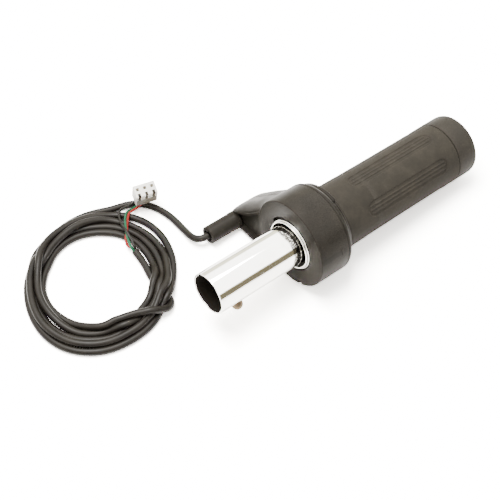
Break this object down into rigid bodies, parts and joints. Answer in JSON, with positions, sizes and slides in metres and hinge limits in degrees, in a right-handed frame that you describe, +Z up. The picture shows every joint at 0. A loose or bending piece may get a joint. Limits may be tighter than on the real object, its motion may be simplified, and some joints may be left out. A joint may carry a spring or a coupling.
{
  "type": "plug-in hall twist throttle grip",
  "caption": "Plug-in twist throttle: chromed bar tube with a snap button, black drum with a cable horn, ribbed rubber sleeve, coiled cable and white crimp connector.",
  "frame": {"origin": "centre of the bounding box's bottom, without the free cable, its wires and the connector; Z = 0 is the table the throttle lies on", "axes": "+X along the grip from the bar tube's mouth towards the end cap (the tube's axis dips 4.1 degrees towards +X as it lies); +Y towards the cable horn; +Z up"},
  "size_m": [0.2411, 0.1251, 0.05],
  "materials": {
    "chrome": "mirror chrome plate",
    "spring_steel": "bright spring wire and strip",
    "black_plastic": "satin moulded",
    "inner_plastic": "plain moulded",
    "grip_rubber": "soft matte",
    "cap_plastic": "matte moulded",
    "screw_steel": "black oxide",
    "magnet": "nickel plate",
    "circuit_board": "solder mask",
    "sensor_body": "moulded epoxy",
    "cable_jacket": "satin vinyl",
    "red_insulation": "satin vinyl",
    "green_insulation": "satin vinyl",
    "black_insulation": "satin vinyl",
    "white_nylon": "natural nylon",
    "tinned_brass": "tin plated"
  },
  "bodies": {
    "housing": {"bar_tube": "chrome", "snap_clip": "spring_steel", "retaining_ring": "spring_steel", "housing_front": "black_plastic", "lead_cover": "black_plastic", "lead_cover_screw": "screw_steel", "housing_rear": "black_plastic", "cover_screw_1": "screw_steel", "cover_screw_2": "screw_steel", "clamp_screw": "screw_steel", "return_spring": "spring_steel", "sensor_board": "circuit_board", "hall_sensor": "sensor_body", "lead_red": "red_insulation", "lead_green": "green_insulation", "lead_black": "black_insulation", "end_cap": "cap_plastic", "cable_bushing": "grip_rubber", "cable_lead": "cable_jacket", "cable_coil": "cable_jacket", "cable_tail": "cable_jacket", "connector_housing": "white_nylon", "terminal_1": "tinned_brass", "terminal_2": "tinned_brass", "terminal_3": "tinned_brass", "wire_red": "red_insulation", "wire_green": "green_insulation", "wire_black": "black_insulation"},
    "grip": {"throttle_tube": "inner_plastic", "magnet_1": "magnet", "magnet_2": "magnet", "grip_sleeve": "grip_rubber"},
    "button": {"snap_button": "chrome"}
  },
  "joints": [
    {"name": "throttle_twist", "type": "hinge", "parent": "housing", "child": "grip", "pos_m": [0.02379, -0.0116, 0.02156], "axis": [0.9974, 0, -0.0721], "range_deg": [0, 70], "stiffness_Nm_per_rad": 0.12, "springref_deg": -28.65},
    {"name": "button_press", "type": "slide", "parent": "housing", "child": "button", "axis": [0.0568, 0.6157, 0.786], "range_m": [0, 0.004], "stiffness_N_per_m": 300, "springref_m": -0.002, "deforming": ["snap_clip"]}
  ]
}
